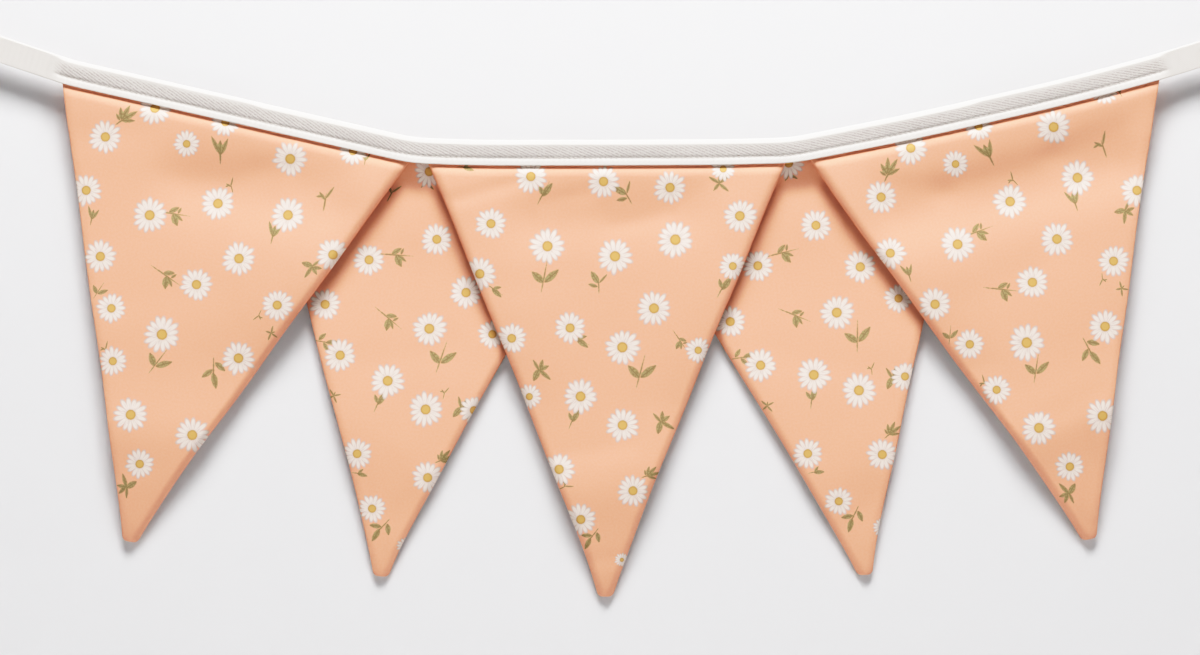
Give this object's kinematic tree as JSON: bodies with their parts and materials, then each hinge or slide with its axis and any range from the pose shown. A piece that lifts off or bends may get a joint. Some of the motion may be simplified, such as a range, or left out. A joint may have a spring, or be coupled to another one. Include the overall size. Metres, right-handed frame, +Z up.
{
  "type": "fabric bunting",
  "caption": "Length of cloth bunting: daisy-print triangular pennants sewn into a folded white tape that hangs in a shallow swag.",
  "frame": {"origin": "on the tape's top fold, at the lowest point of the swag", "axes": "+X to the right along the tape as seen from the front, +Y towards the back, +Z up"},
  "size_m": [0.63, 0.0129, 0.2808],
  "materials": {
    "pennant_cotton": "smooth printed cotton, matte",
    "white_tape": "white cotton twill, matte"
  },
  "bodies": {
    "root": {"pennant_1": "pennant_cotton", "pennant_2": "pennant_cotton", "pennant_3": "pennant_cotton", "pennant_4": "pennant_cotton", "pennant_5": "pennant_cotton", "tape": "white_tape"}
  },
  "joints": []
}
